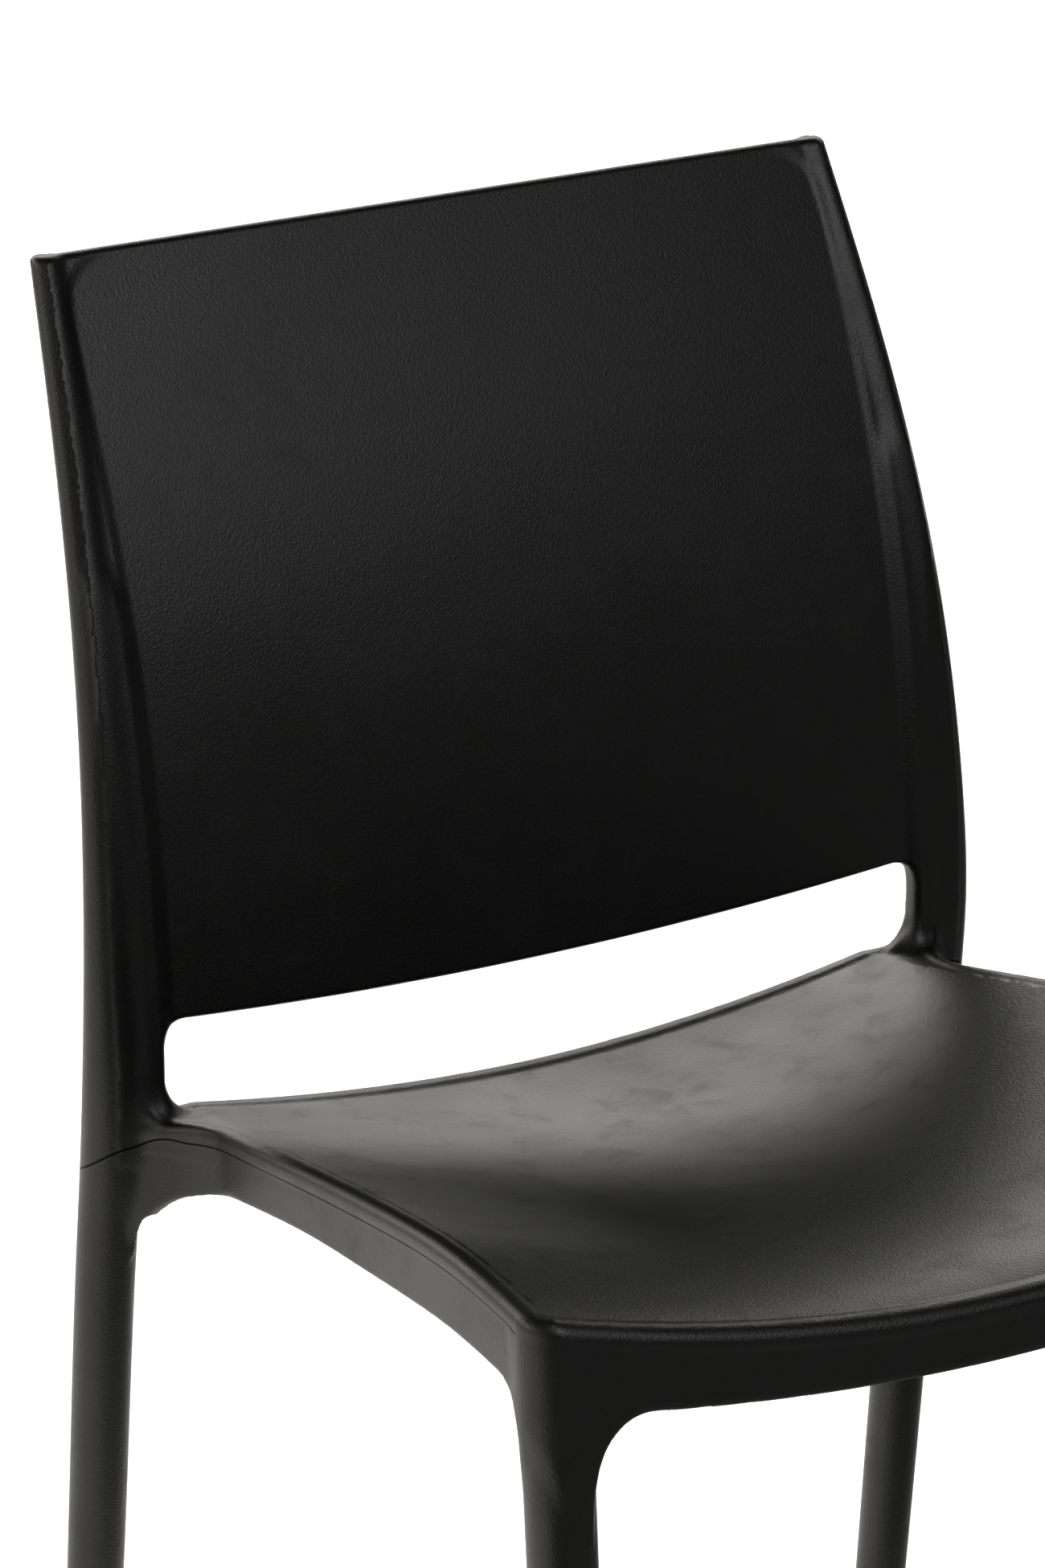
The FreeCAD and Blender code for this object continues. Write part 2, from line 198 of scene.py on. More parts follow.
def seat_plan(ax, y):
    """Distance in plan to the seat's outline, below zero inside."""
    side = (ax - seat_side(y)) * SIDE_COS
    flare = (ax - FLARE_HALF - FLARE_SLOPE * (y - NECK_Y)) * FLARE_COS
    front = SEAT_FRONT + SEAT_BOW * (ax / SEAT_HALF) ** 2 - y
    outline = round_max(round_min(side, flare, CREASE_R), front, CORNER_R)
    return round_max(outline, y - SEAT_BACK, BACK_R)


def back_panel_sheet(ax, y, z):
    """Distance to the back panel with its raised borders and the webs beside the slot."""
    face = BEAD_FACE(z) + BORDER
    cos = 1 / np.sqrt(1 + BEAD_FACE.slope(z) ** 2)
    inside = round_max(ax - RECESS_HALF, z - RECESS_TOP, RECESS_R)
    recess = RECESS * smooth(0.5 - inside / RECESS_EASE)
    sheet = np.maximum(face + recess - y, y - face - RECESS - PANEL) * cos
    opening = round_min(SLOT_TOP + SLOT_RISE * (ax / SLOT_HALF) ** 2 - z, SLOT_HALF - ax, SLOT_R)
    opening = round_min(opening, z - seat_top(ax, y) + FOOT_LIFT * smooth((180.0 - ax) / 18.0), FOOT_R)
    panel = round_max(sheet, opening, PANEL_R)
    return round_max(np.maximum(panel, ax - REAR_X(z)), PANEL_LOW - z, WEB_R)


def web_foot(ax, y, z):
    """Distance to the flared foot of the web beside the slot; it stays flush with the apron's outer face."""
    face = BEAD_FACE(z) + BORDER
    web = round_max(SLOT_HALF - ax, face - y, WEB_R)
    foot = round_min(web, z - seat_top(ax, y) + FOOT_SINK * smooth(web / FOOT_R), FOOT_R)
    foot = round_max(foot, seat_plan(ax, y), WEB_R)
    foot = np.maximum(foot, np.maximum(y - face - RECESS - PANEL, ax - REAR_X(z)))
    return np.maximum(foot, np.maximum(np.maximum(FOOT_LOW - z, FOOT_FRONT - y), FOOT_INNER - ax))


def seat_box(ax, y, z):
    """Distance to the seat: a dished shell on a wall that runs round under its edge, arched into the legs."""
    top = (z - seat_top(ax, y)) * TOP_COS
    plan = seat_plan(ax, y)
    edge_r = EDGE_R - SHARPER * smooth((y - 122.0) / 20.0) * smooth((186.0 - ax) / 20.0)
    shell = round_max(plan, top, edge_r)
    front_band = np.abs(y - FRONT_Y(z)) - SIDE_SHARE * FRONT_R(z)
    leg_bands = np.minimum(np.abs(y - REAR_Y(z)) - REAR_R(z), front_band)
    side_low = round_min(RAIL_LOW(y) - z, leg_bands, SIDE_ARCH_R)
    arch = (FRONT_LOW + FRONT_RISE * (ax / SEAT_HALF) ** 2 - z) * ARCH_COS
    front_low = round_min(arch, np.abs(ax - FRONT_X(z)) - FRONT_SHARE * FRONT_R(z), FRONT_ARCH_R)
    rear_low = seat_top(ax, y) - REAR_DEPTH - z
    frontness = smooth((-205.0 - y) / 14.0)
    rearness = smooth((y - 134.0) / 7.0) * smooth((203.0 - ax) / 6.0)
    low = side_low + (front_low - side_low) * frontness
    low = low + (rear_low - low) * rearness
    low = np.maximum(low, ARCH_END - z)
    sunk = shell + SINK * smooth((SINK_FROM - z) / SINK_OVER)
    wall = round_max(round_max(sunk, low, 2.8), -plan - WALL, 1.2)
    slab = round_max(shell, -top - SHELL, 1.5)
    return round_min(wall, slab, 4.0)


def whole(p):
    """Distance to the whole moulding at points of shape (n, 3)."""
    ax, y, z = np.abs(p[:, 0]), p[:, 1], p[:, 2]
    rear = bar(ax, y, z, REAR_X, REAR_Y, REAR_R)
    back = soft_min(rear, back_panel_sheet(ax, y, z), 4.5)
    back = round_max(back, (z - TOP) * CUT_COS, TOP_R)
    front = bar(ax, y, z, FRONT_X, FRONT_Y, FRONT_R)
    front = round_max(front, z - seat_top(ax, y) + 4.0, 6.0)
    seat = seat_box(ax, y, z)
    seat = soft_min(seat, web_foot(ax, y, z), 1.5)
    body = soft_min(seat, front, 0.6 + 5.0 * smooth((z - 385.0) / 40.0))
    body = soft_min(body, back, 1.0 + 6.0 * smooth((z - 395.0) / 30.0))
    return round_max(body, FLOOR_GAP - z, 1.5)


def gradient(p, step=0.15):
    """Unit direction in which the field grows fastest, and how fast it grows."""
    g = np.empty_like(p)
    for axis in range(3):
        d = np.zeros(3)
        d[axis] = step
        g[:, axis] = (whole(p + d) - whole(p - d)) / (2 * step)
    size = np.linalg.norm(g, axis=1)
    return g / np.maximum(size, 1e-6)[:, None], size


# ---- surface net --------------------------------------------------------------------------------
BLOCK = 12                 # cells along each side of a block
BATCH = 400                # blocks worked out at a time
NET_TURNS, SLIDING_TURNS = 5, 3
INSIDE_BOX = 0.02          # the net stays this far inside the CAD model's box
ON_CUT = 1e-3              # a point this near to a cut counts as kept
NET_LOW = np.array([-228.0, -250.0, 0.0])
NET_HIGH = np.array([228.0, 250.0, 820.0])


def near_blocks(pitch):
    """Index of each block that the surface may pass through."""
    size = BLOCK * pitch
    counts = np.ceil((NET_HIGH - NET_LOW) / size).astype(int)
    grid = np.stack(np.meshgrid(*[np.arange(c) for c in counts], indexing="ij"), -1).reshape(-1, 3)
    centre = NET_LOW + (grid + 0.5) * size
    return grid[np.abs(whole(centre)) < size * 0.5 * math.sqrt(3) * 1.35]


def surface_net(pitch):
    """Vertices in millimetres and triangles of the whole moulding."""
    blocks = near_blocks(pitch)
    n = BLOCK + 1
    local = np.stack(np.meshgrid(*[np.arange(n)] * 3, indexing="ij"), -1).reshape(-1, 3)
    key_size = np.ceil((NET_HIGH - NET_LOW) / pitch).astype(int) + BLOCK + 2
    stride = np.array([key_size[1] * key_size[2], key_size[2], 1])
    cell_keys, cell_points, edges = [], [], []
    for start in range(0, len(blocks), BATCH):
        base = blocks[start:start + BATCH] * BLOCK
        index = (base[:, None, :] + local[None]).reshape(-1, 3)
        value = whole(NET_LOW + index * pitch).reshape(-1, n, n, n)
        found, points = cell_vertices(value, base)
        cell_keys.append(found @ stride)
        cell_points.append(NET_LOW + points * pitch)
        edges.append(crossed_edges(value, base))
    keys, first = np.unique(np.concatenate(cell_keys), return_index=True)
    verts = np.concatenate(cell_points)[first]
    quads = net_quads(np.unique(np.concatenate(edges), axis=0), keys, stride)
    ring = np.concatenate([quads[:, [i, (i + 1) % 4]] for i in range(4)])
    degree = np.maximum(np.bincount(ring[:, 0], minlength=len(verts)), 1)[:, None]
    for turn in range(NET_TURNS):
        if turn < SLIDING_TURNS:
            mean = [np.bincount(ring[:, 0], verts[ring[:, 1], i], len(verts)) for i in range(3)]
            slide = np.stack(mean, 1) / degree - verts
            g, _ = gradient(verts)
            verts += 0.5 * (slide - (slide * g).sum(1)[:, None] * g)
        g, size = gradient(verts)
        verts -= g * np.clip(whole(verts) / np.maximum(size, 0.3), -0.6 * pitch, 0.6 * pitch)[:, None]
    low, high = (np.array(corner, float) / MM for corner in CAD_BOX)
    verts = np.clip(verts, low + INSIDE_BOX, high - INSIDE_BOX)
    return verts, np.concatenate([quads[:, [0, 1, 2]], quads[:, [0, 2, 3]]])


def cell_vertices(value, base):
    """Cells with a change of sign, and the mean crossing point of each, in lattice units."""
    steps = [(i, j, k) for i in (0, 1) for j in (0, 1) for k in (0, 1)]
    corner = [value[:, i:i + BLOCK, j:j + BLOCK, k:k + BLOCK] for i, j, k in steps]
    below = sum((c < 0).astype(np.int8) for c in corner)
    where = np.nonzero((below > 0) & (below < 8))
    v = np.stack([c[where] for c in corner], 1)
    offset = np.array(steps, float)
    total, count = np.zeros((len(v), 3)), np.zeros(len(v))
    for a in range(8):
        for bit in (1, 2, 4):
            b = a | bit
            if b == a:
                continue
            cross = (v[:, a] < 0) != (v[:, b] < 0)
            t = v[cross, a] / (v[cross, a] - v[cross, b])
            total[cross] += offset[a] + t[:, None] * (offset[b] - offset[a])
            count[cross] += 1
    cell = base[where[0]] + np.stack(where[1:], 1)
    return cell, cell + total / count[:, None]


def crossed_edges(value, base):
    """Lattice edges with a change of sign: index, axis and which way it changes."""
    rows = []
    for axis in range(3):
        low, high = [slice(None)] * 4, [slice(None)] * 4
        low[axis + 1], high[axis + 1] = slice(0, BLOCK), slice(1, BLOCK + 1)
        a, b = value[tuple(low)] < 0, value[tuple(high)] < 0
        where = np.nonzero(a != b)
        at = base[where[0]] + np.stack(where[1:], 1)
        rows.append(np.column_stack([at, np.full(len(at), axis), a[where].astype(int)]))
    return np.concatenate(rows)


def net_quads(edges, keys, stride):
    """One quad round each crossed edge, through the vertices of its four cells, facing outwards."""
    quads = []
    for axis in range(3):
        for goes_out in (0, 1):
            e = edges[(edges[:, 3] == axis) & (edges[:, 4] == goes_out), :3]
            u, v = np.zeros(3, int), np.zeros(3, int)
            u[(axis + 1) % 3], v[(axis + 2) % 3] = 1, 1
            ring = np.stack([(e - u - v) @ stride, (e - v) @ stride, e @ stride, (e - u) @ stride], 1)
            at = np.clip(np.searchsorted(keys, ring), 0, len(keys) - 1)
            at = at[(keys[at] == ring).all(1)]
            quads.append(at if goes_out else at[:, ::-1])
    return np.concatenate(quads)


_net = {}


def moulding_net():
    """The net of the whole moulding, worked out once."""
    if not _net:
        pitch = bpy.context.scene.chair_shell.pitch * 1.0
        _net["verts"], tris = surface_net(pitch)
        _net["tris"] = np.column_stack([tris, np.zeros(len(tris), int)])
    return _net["verts"], _net["tris"]


# ---- where one member ends and the next begins --------------------------------------------------
BEHIND_Y, AHEAD_Y, FRONT_CUT, SLOT_CUT = 126.0, -200.5, 189.5, 7.0
UPRIGHT_CUT, UPRIGHT_LEAN, UPRIGHT_AT, CORNER_Y = 195.7, 0.0465, 475.0, 60.0


def above_apron(p):
    """Above zero over the line under the seat's edge strip, which runs on across the rear leg on a slant."""
    ax, y = np.abs(p[:, 0]), p[:, 1]
    near_leg = smooth((y - 112.0) / 12.0) * smooth((ax - 186.0) / 8.0)
    plain = seat_top(ax, y) - RIM_DEPTH
    return p[:, 2] - (plain + (LEG_SEAM(y) - plain) * near_leg)


def behind(p):
    return p[:, 1] - BEHIND_Y


def ahead(p):
    return AHEAD_Y - p[:, 1]


def outer_front(sign):
    return lambda p: sign * p[:, 0] - FRONT_CUT


def outer_back(sign):
    """Above zero outside the panel on one side: in the upright, and the rear leg under it."""
    return lambda p: sign * p[:, 0] - UPRIGHT_CUT + UPRIGHT_LEAN * (p[:, 2] - UPRIGHT_AT)


def over_seat(p):
    return p[:, 2] - seat_top(np.abs(p[:, 0]), p[:, 1]) - SLOT_CUT


def rear_corner(sign):
    """Above zero in one upright and its rear leg, behind a plane that only the seat and its apron cross."""
    beside = outer_back(sign)
    return lambda p: np.minimum(p[:, 1] - CORNER_Y, beside(p))


def on_side(sign):
    return lambda p: sign * p[:, 0]


def outside(test):
    return lambda p: -test(p)


def clip(verts, tris, test):
    """Keeps what lies where test is above zero, cuts the triangles that cross and caps the cut."""
    s = test(verts)
    s = np.where(np.abs(s) < ON_CUT, ON_CUT, s)
    inside = s[tris[:, :3]] > 0
    count = inside.sum(1)
    pairs, made = [], []
    for number, lone in ((1, True), (2, False)):
        pick = count == number
        t = tris[pick, :3]
        turn = np.argmax(inside[pick] == lone, axis=1)
        t = t[np.arange(len(t))[:, None], (turn[:, None] + np.arange(3)) % 3]
        pairs += [np.sort(t[:, [0, 1]], 1), np.sort(t[:, [0, 2]], 1)]
        made.append((t, tris[pick, 3]))
    edge, back = np.unique(np.concatenate(pairs), axis=0, return_inverse=True)
    back = back.ravel() + len(verts)
    a, b = s[edge[:, 0]], s[edge[:, 1]]
    new = verts[edge[:, 0]] + (a / (a - b))[:, None] * (verts[edge[:, 1]] - verts[edge[:, 0]])
    (one, flag1), (two, flag2) = made
    n1, n2 = len(one), len(two)
    e01, e02 = back[:n1], back[n1:2 * n1]
    f01, f02 = back[2 * n1:2 * n1 + n2], back[2 * n1 + n2:]
    kept = [
        tris[count == 3], np.column_stack([one[:, 0], e01, e02, flag1]),
        np.column_stack([f01, two[:, 1], two[:, 2], flag2]), np.column_stack([f01, two[:, 2], f02, flag2])]
    kept = np.concatenate(kept)
    used, back = np.unique(kept[:, :3], return_inverse=True)
    verts = np.concatenate([verts, new])[used]
    return verts, cap(verts, np.column_stack([back.reshape(-1, 3), kept[:, 3]]))


def open_loops(count, tris):
    """Chains of the edges that have a triangle on one side only."""
    a, b = tris[:, [0, 1, 2]].ravel(), tris[:, [1, 2, 0]].ravel()
    lone = ~np.isin(a * count + b, b * count + a)
    following = dict(zip(a[lone].tolist(), b[lone].tolist()))
    loops = []
    while following:
        start, at = following.popitem()
        loop = [start]
        while at != start:
            loop.append(at)
            at = following.pop(at, start)
        if len(loop) > 2:
            loops.append(loop)
    return loops


def cap(verts, tris):
    """Closes the open loops with flat triangles, a loop that lies inside another as its hole."""
    loops = open_loops(len(verts), tris)
    loops.sort(key=lambda loop: -np.ptp(verts[loop], axis=0).sum())
    groups = []
    for loop in loops:
        low, high = verts[loop].min(0) + 0.01, verts[loop].max(0) - 0.01
        bounds = [(verts[g[0]].min(0), verts[g[0]].max(0)) for g in groups]
        around = (g for g, (a, b) in zip(groups, bounds) if (a <= low).all() and (b >= high).all())
        home = next(around, None)
        if home is None:
            groups.append([loop])
        else:
            home.append(loop)
    return np.concatenate([tris] + [filled(verts, group) for group in groups])


def filled(verts, group):
    """Delaunay triangles between the outlines of one section, facing out of the piece."""
    outer = verts[group[0]]
    facing = -np.cross(outer - outer[0], np.roll(outer, -1, 0) - outer[0]).sum(0)
    facing /= max(np.linalg.norm(facing), 1e-9)
    across = np.cross(facing, np.eye(3)[np.argmin(np.abs(facing))])
    across /= np.linalg.norm(across)
    names = np.array([i for loop in group for i in loop])
    flat = verts[names] @ np.stack([across, np.cross(facing, across)], 1)
    pairs, start = [], 0
    for loop in group:
        ring = list(range(start, start + len(loop)))
        pairs += zip(ring, ring[1:] + ring[:1])
        start += len(loop)
    points = [Vector(p) for p in flat.tolist()]
    _, _, faces, source, _, _ = delaunay_2d_cdt(points, pairs, [], 0, 1e-7)
    found = [[source[v][0] for v in face] for face in faces if all(source[v] for v in face)]
    found = np.array(found, int).reshape(-1, 3)
    ends = np.array(pairs)
    found = found[within(flat[found].mean(1), flat[ends[:, 0]], flat[ends[:, 1]])]
    return np.column_stack([names[found], np.ones(len(found), int)])


def within(points, a, b):
    """Even-odd test of flat points against the outlines' edges."""
    x, y = points[:, :1], points[:, 1:]
    spans = (a[:, 1] > y) != (b[:, 1] > y)
    rise = np.where(b[:, 1] == a[:, 1], 1.0, b[:, 1] - a[:, 1])
    return (spans & (x < (b[:, 0] - a[:, 0]) * (y - a[:, 1]) / rise + a[:, 0])).sum(1) % 2 == 1


def member(name, tests, node, material):
    """A piece of the moulding: its part of the net, capped where it was cut, with the field's own normals."""
    verts, tris = moulding_net()
    for test in tests:
        verts, tris = clip(verts, tris, test)
    left_open = len(open_loops(len(verts), tris))
    mesh = bpy.data.meshes.new(name)
    mesh.from_pydata(verts * MM, [], tris[:, :3])
    is_cap = tris[:, 3] == 1
    mesh.polygons.foreach_set("use_smooth", ~is_cap)
    set_normals(mesh, is_cap)
    mesh.materials.append(material)
    piece = bpy.data.objects.new(name, mesh)
    bpy.context.collection.objects.link(piece)
    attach(piece, ROOT)
    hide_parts(node)
    print("piece", name, "triangles", len(tris), "open loops", left_open)
    return piece


def set_normals(mesh, is_cap):
    """Shades the skin with the field's normals and the caps flat, and stores the distances to the lines."""
    count = len(mesh.vertices)
    co = np.empty(count * 3)
    mesh.vertices.foreach_get("co", co)
    p = co.reshape(-1, 3) / MM
    g, _ = gradient(p)
    loop_vertex = np.empty(len(mesh.loops), int)
    mesh.loops.foreach_get("vertex_index", loop_vertex)
    starts = np.empty(len(mesh.polygons), int)
    mesh.polygons.foreach_get("loop_start", starts)
    flat = np.empty(len(mesh.polygons) * 3)
    mesh.polygons.foreach_get("normal", flat)
    flat = flat.reshape(-1, 3)
    owner = np.repeat(np.arange(len(starts)), np.diff(np.append(starts, len(loop_vertex))))
    normals = np.where(is_cap[owner][:, None], flat[owner], g[loop_vertex])
    mesh.normals_split_custom_set(normals)
    mould = mesh.attributes.new("mould_line", "FLOAT", "POINT")
    mould.data.foreach_set("value", mould_line(p))
    seam = mesh.attributes.new("seam_line", "FLOAT", "POINT")
    seam.data.foreach_set("value", seam_line(p))


FAR = 9.0                  # a distance that is past every line's width


def mould_line(p):
    """Distance in millimetres to the lines that the mould halves leave down the outsides of the legs."""
    ax, y, z = np.abs(p[:, 0]), p[:, 1], p[:, 2]
    rear = np.where(ax > REAR_X(z), np.abs(y - REAR_Y(z) - 1.0), FAR)
    front = np.where(ax > FRONT_X(z), np.abs(y - FRONT_Y(z) - 1.3), FAR)
    return np.where(above_apron(p) < 0, np.minimum(FAR, np.minimum(rear, front)), FAR)


def seam_line(p):
    """Distance in millimetres to the line under the seat's edge strip and across the rear leg."""
    front = FAR * smooth((FRONT_Y(400.0) + 2.0 - p[:, 1]) / 2.0)
    middle = FAR * smooth((180.0 - np.abs(p[:, 0])) / 4.0)
    return np.clip(np.abs(above_apron(p)) + front + middle, 0, FAR)


# ---- finishes -----------------------------------------------------------------------------------
class Nodes:
    """Short hand for a material's node tree."""

    def __init__(self, name):
        self.material = bpy.data.materials.new(name)
        self.material.use_nodes = True
        self.tree = self.material.node_tree
        self.shader = self.tree.nodes["Principled BSDF"]

    def add(self, kind, inputs=None, **settings):
        node = self.tree.nodes.new("ShaderNode" + kind)
        for key, value in settings.items():
            setattr(node, key, value)
        for key, value in (inputs or {}).items():
            if isinstance(value, bpy.types.NodeSocket):
                self.tree.links.new(value, node.inputs[key])
            else:
                node.inputs[key].default_value = value
        return node

    def ramp(self, value, low, high, from_low=0.0, from_high=1.0):
        limits = {"From Min": from_low, "From Max": from_high, "To Min": low, "To Max": high}
        return self.add("MapRange", {"Value": value, **limits}).outputs["Result"]

    def noise(self, place, scale, detail, roughness=0.5, distortion=0.0):
        texture = {"Scale": scale, "Detail": detail, "Roughness": roughness, "Distortion": distortion}
        return self.add("TexNoise", {"Vector": place, **texture}).outputs["Fac"]

    def mix(self, factor, first, second):
        return self.add("MixRGB", {"Fac": factor, "Color1": first, "Color2": second}).outputs[0]

    def math(self, operation, a, b=0.0):
        return self.add("Math", {0: a, 1: b}, operation=operation).outputs[0]

    def link(self, value, socket):
        self.tree.links.new(value, self.shader.inputs[socket])


LINE_BLACK = (0.0008, 0.0008, 0.0008, 1.0)
RUBBER_DARK, RUBBER_WORN = (0.012, 0.012, 0.012, 1.0), (0.045, 0.043, 0.04, 1.0)
PLASTIC_IOR, GLOSS, LINE_GLOSS = 1.49, 0.42, 0.03
GRAIN_SCALE = 900.0


def moulded_plastic(name):
    """Fine-grained black polypropylene: spark-eroded grain, cloudy gloss, faint scuffs, thin mould lines."""
    look = bpy.context.scene.chair_finish
    n = Nodes(name)
    place = n.add("TexCoord").outputs["Object"]
    grain = n.noise(place, GRAIN_SCALE, 3.0, 0.65)
    pores = n.add("TexVoronoi", {"Vector": place, "Scale": GRAIN_SCALE}, feature="SMOOTH_F1")
    cloud = n.noise(place, 11.0, 5.0, 0.6)
    flow = n.noise(place, 45.0, 6.0, 0.7, 0.6)
    mould = n.add("Attribute", attribute_name="mould_line").outputs["Fac"]
    seam = n.add("Attribute", attribute_name="seam_line").outputs["Fac"]
    ridge = n.ramp(mould, 1.0, 0.0, 0.05, 0.35)
    crack = n.ramp(seam, 1.0, 0.0, 0.25, 0.75)
    pits = n.math("MULTIPLY", pores.outputs["Distance"], look.grain * 0.5)
    height = n.math("ADD", n.math("MULTIPLY", grain, look.grain), pits)
    height = n.math("ADD", height, n.math("MULTIPLY", ridge, 0.06))
    bump = n.add("Bump", {"Strength": 1.0, "Distance": MM, "Height": height})
    rough = n.ramp(cloud, look.roughness - 0.04, look.roughness + 0.05, 0.3, 0.7)
    n.link(n.math("ADD", rough, n.ramp(flow, 0.0, 0.10, 0.52, 0.75)), "Roughness")
    n.link(bump.outputs["Normal"], "Normal")
    deep, plain, rubbed = ((*[c * share for c in look.colour], 1.0) for share in (0.7, 1.35, 1.9))
    tone = n.mix(n.ramp(grain, 0.0, 1.0, 0.35, 0.65), deep, plain)
    tone = n.mix(n.ramp(flow, 0.0, 0.35, 0.55, 0.8), tone, rubbed)
    tone = n.mix(n.math("MULTIPLY", crack, 0.9), tone, LINE_BLACK)
    n.link(tone, "Base Color")
    n.shader.inputs["IOR"].default_value = PLASTIC_IOR
    lines = n.math("MAXIMUM", crack, n.math("MULTIPLY", ridge, 0.35))
    n.link(n.ramp(lines, GLOSS, LINE_GLOSS), "Specular IOR Level")
    return n.material


def glide_rubber():
    """Dull dark elastomer of the foot glides, scuffed where it slides."""
    n = Nodes("glide_rubber")
    place = n.add("TexCoord").outputs["Object"]
    fine = n.noise(place, 700.0, 4.0)
    scuff = n.noise(place, 90.0, 5.0, distortion=1.0)
    n.link(n.ramp(scuff, 0.55, 0.8, 0.3, 0.7), "Roughness")
    n.link(n.mix(n.ramp(scuff, 0.0, 1.0, 0.45, 0.75), RUBBER_DARK, RUBBER_WORN), "Base Color")
    n.link(n.add("Bump", {"Strength": 0.5, "Distance": 0.0002, "Height": fine}).outputs["Normal"], "Normal")
    return n.material


_finish = {}


def finish(name, make):
    """A finish by name, made the first time it is asked for."""
    if name not in _finish:
        _finish[name] = make()
    return _finish[name]


def body_finish():
    return finish("moulded_body", lambda: moulded_plastic("moulded_body"))


# ---- settings -----------------------------------------------------------------------------------
class ChairShell(bpy.types.PropertyGroup):
    """How finely the moulding is built."""
    pitch: bpy.props.FloatProperty(
        name="Net pitch", description="Size of the surface net's cells, in millimetres",
        default=2.0, min=1.0, max=8.0)


class ChairFinish(bpy.types.PropertyGroup):
    """The plastic."""
    colour: bpy.props.FloatVectorProperty(
        name="Colour", description="Colour of the plastic",
        subtype="COLOR", size=3, default=(0.0034, 0.0032, 0.0030), min=0.0, max=1.0)
    roughness: bpy.props.FloatProperty(
        name="Roughness", description="How dull the plastic is",
        subtype="FACTOR", default=0.40, min=0.05, max=1.0)
    grain: bpy.props.FloatProperty(
        name="Grain", description="Depth of the grain, in millimetres",
        default=0.16, min=0.0, max=0.5)


class ChairStudio(bpy.types.PropertyGroup):
    """Lights and camera."""
    azimuth: bpy.props.FloatProperty(
        name="Azimuth", description="Which way round the chair the camera stands",
        subtype="ANGLE", default=math.radians(-29.54))
    elevation: bpy.props.FloatProperty(
        name="Elevation", description="How far above the horizon the camera stands",
        subtype="ANGLE", default=math.radians(16.47))
    roll: bpy.props.FloatProperty(
        name="Roll", description="Tilt of the camera about its line of sight",
        subtype="ANGLE", default=math.radians(-2.47))
    distance: bpy.props.FloatProperty(
        name="Distance", description="Distance from the camera to its target",
        subtype="DISTANCE", default=2.85479)
    lens: bpy.props.FloatProperty(
        name="Lens", description="Focal length, in millimetres",
        default=150.81)
    # Strength of the floor's painted glow behind the chair; the floor is emissive, not lit by a lamp.
    floor_glow: bpy.props.FloatProperty(
        name="Backdrop", description="Brightness of the floor behind the chair",
        default=1.15, min=0.0)
    glow: bpy.props.FloatProperty(
        name="Glow", description="Brightness of the wall behind the chair",
        default=4.2, min=0.0)


# ---- operators ----------------------------------------------------------------------------------
LEFT, RIGHT = 1.0, -1.0
SIDES = (("left", LEFT), ("right", RIGHT))


class CHAIR_OT_back_panel(bpy.types.Operator):
    """Back panel with its raised borders and the webs beside the slot"""
    bl_idname = "chair.back_panel"
    bl_label = "Back panel"

    def execute(self, context):
        tests = [over_seat, outside(outer_back(LEFT)), outside(outer_back(RIGHT))]
        member("chair_back_panel", tests, "back_panel", body_finish())
        return {"FINISHED"}


class CHAIR_OT_uprights(bpy.types.Operator):
    """The two beaded uprights beside the back panel"""
    bl_idname = "chair.uprights"
    bl_label = "Uprights"

    def execute(self, context):
        for side, sign in SIDES:
            tests = [above_apron, rear_corner(sign)]
            member("chair_upright_" + side, tests, "back_upright_" + side, body_finish())
        return {"FINISHED"}


class CHAIR_OT_seat(bpy.types.Operator):
    """Dished seat with its rounded edge strip"""
    bl_idname = "chair.seat"
    bl_label = "Seat"

    def execute(self, context):
        tests = [outside(over_seat), above_apron, outside(rear_corner(LEFT)), outside(rear_corner(RIGHT))]
        member("chair_seat", tests, "seat_shell", body_finish())
        return {"FINISHED"}


class CHAIR_OT_rear_legs(bpy.types.Operator):
    """Round raked rear legs"""
    bl_idname = "chair.rear_legs"
    bl_label = "Rear legs"

    def execute(self, context):
        for side, sign in SIDES:
            tests = [outside(above_apron), rear_corner(sign)]
            member("chair_rear_leg_" + side, tests, "rear_leg_" + side, body_finish())
        return {"FINISHED"}


class CHAIR_OT_front_legs(bpy.types.Operator):
    """Round front legs that form the seat's front corners"""
    bl_idname = "chair.front_legs"
    bl_label = "Front legs"

    def execute(self, context):
        for side, sign in SIDES:
            tests = [outside(above_apron), ahead, outer_front(sign)]
            member("chair_front_leg_" + side, tests, "front_leg_" + side, body_finish())
        return {"FINISHED"}


class CHAIR_OT_aprons(bpy.types.Operator):
    """Aprons under the seat's edge, arched into the legs"""
    bl_idname = "chair.aprons"
    bl_label = "Aprons"

    def execute(self, context):
        under = outside(above_apron)
        for side, sign in SIDES:
            tests = [under, on_side(sign), outside(ahead), outside(behind), outside(rear_corner(sign))]
            member("chair_side_apron_" + side, tests, "side_rail_" + side, body_finish())
        tests = [under, ahead, outside(outer_front(LEFT)), outside(outer_front(RIGHT))]
        member("chair_front_apron", tests, "front_rail", body_finish())
        tests = [under, behind, outside(outer_back(LEFT)), outside(outer_back(RIGHT))]
        member("chair_rear_apron", tests, "rear_rail", body_finish())
        return {"FINISHED"}


def glide_profile():
    """Half section of a glide, from the floor up: radius and height in millimetres."""
    disc = [(0.0, 0.4), (5.5, 0.4), (6.2, 0.0), (8.6, 0.0), (9.5, 0.9), (9.5, 3.1), (9.0, 3.9)]
    stem = [(5.6, 4.0), (5.5, 19.0), (4.6, 20.0), (0.0, 20.0)]
    return disc + stem


